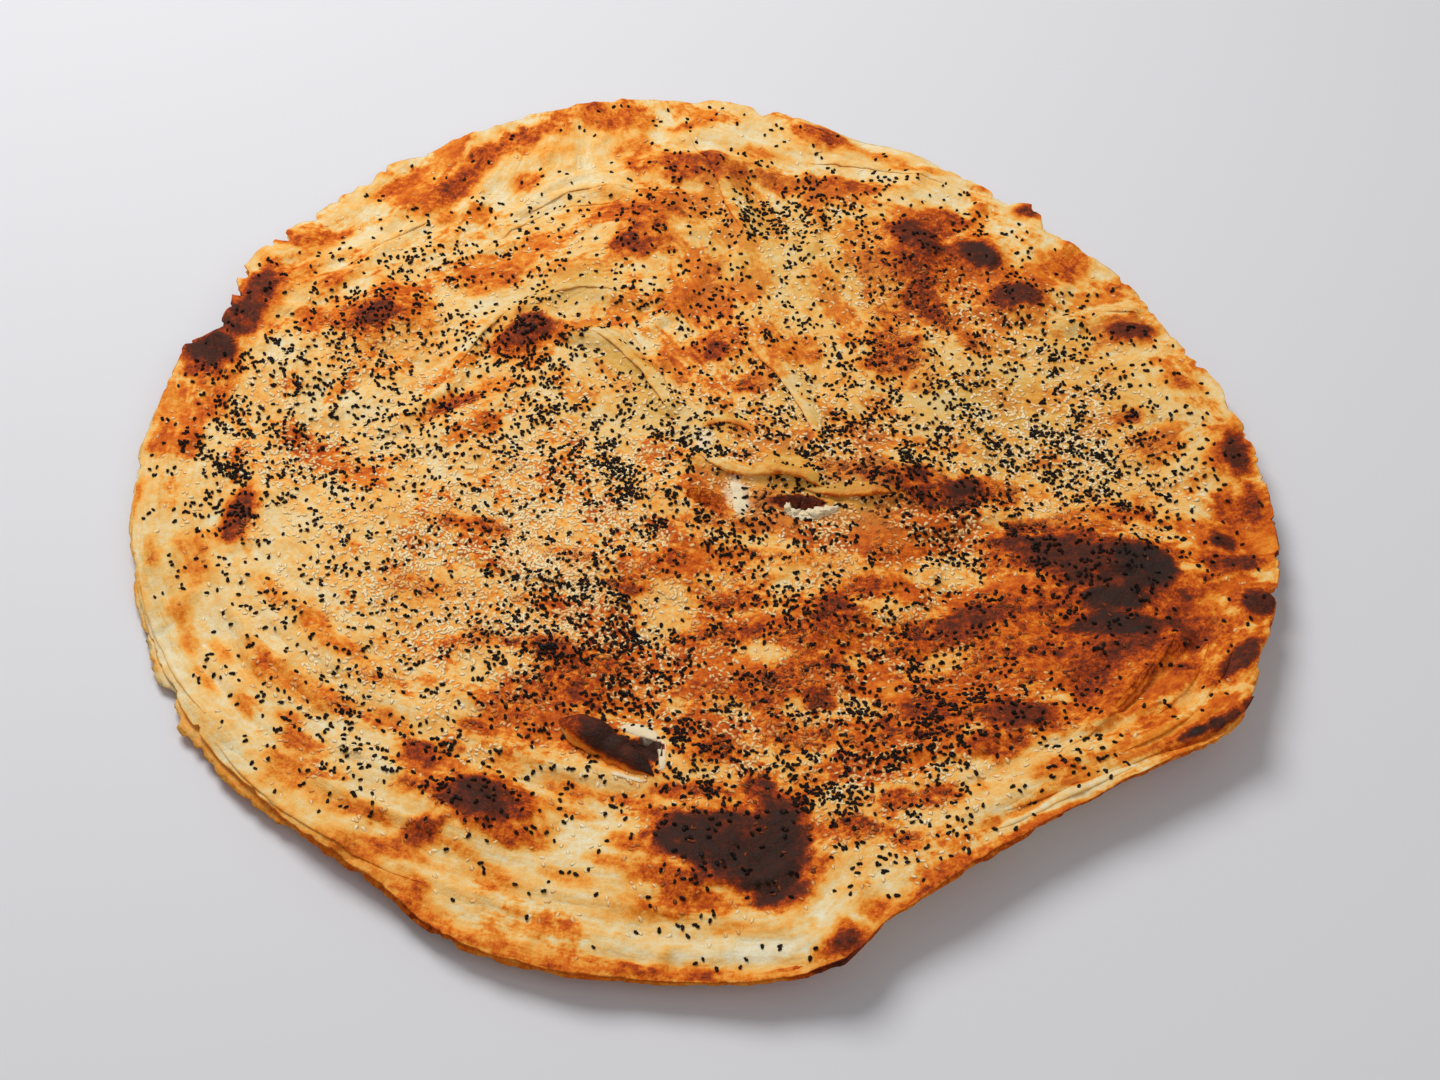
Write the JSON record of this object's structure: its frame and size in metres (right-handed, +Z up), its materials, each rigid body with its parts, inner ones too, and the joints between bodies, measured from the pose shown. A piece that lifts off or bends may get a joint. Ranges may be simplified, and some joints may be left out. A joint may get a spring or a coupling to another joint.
{
  "type": "semolina flatbread",
  "caption": "Large round layered flatbread with browned blisters, torn openings, a lifting rim and black and pale seeds.",
  "frame": {"origin": "middle of the bounding box, on the surface that the bread lies on", "axes": "+Z up through the bread's thickness, -Y towards the viewer of the picture, +X to the viewer's right"},
  "size_m": [0.5246, 0.5434, 0.0254],
  "materials": {
    "crust": "baked flaky dough, pale to golden with brown and charred blisters, slightly oily",
    "nigella": "dull black seed",
    "sesame": "pale satin seed"
  },
  "bodies": {
    "root": {"flatbread": "crust"}
  },
  "joints": []
}
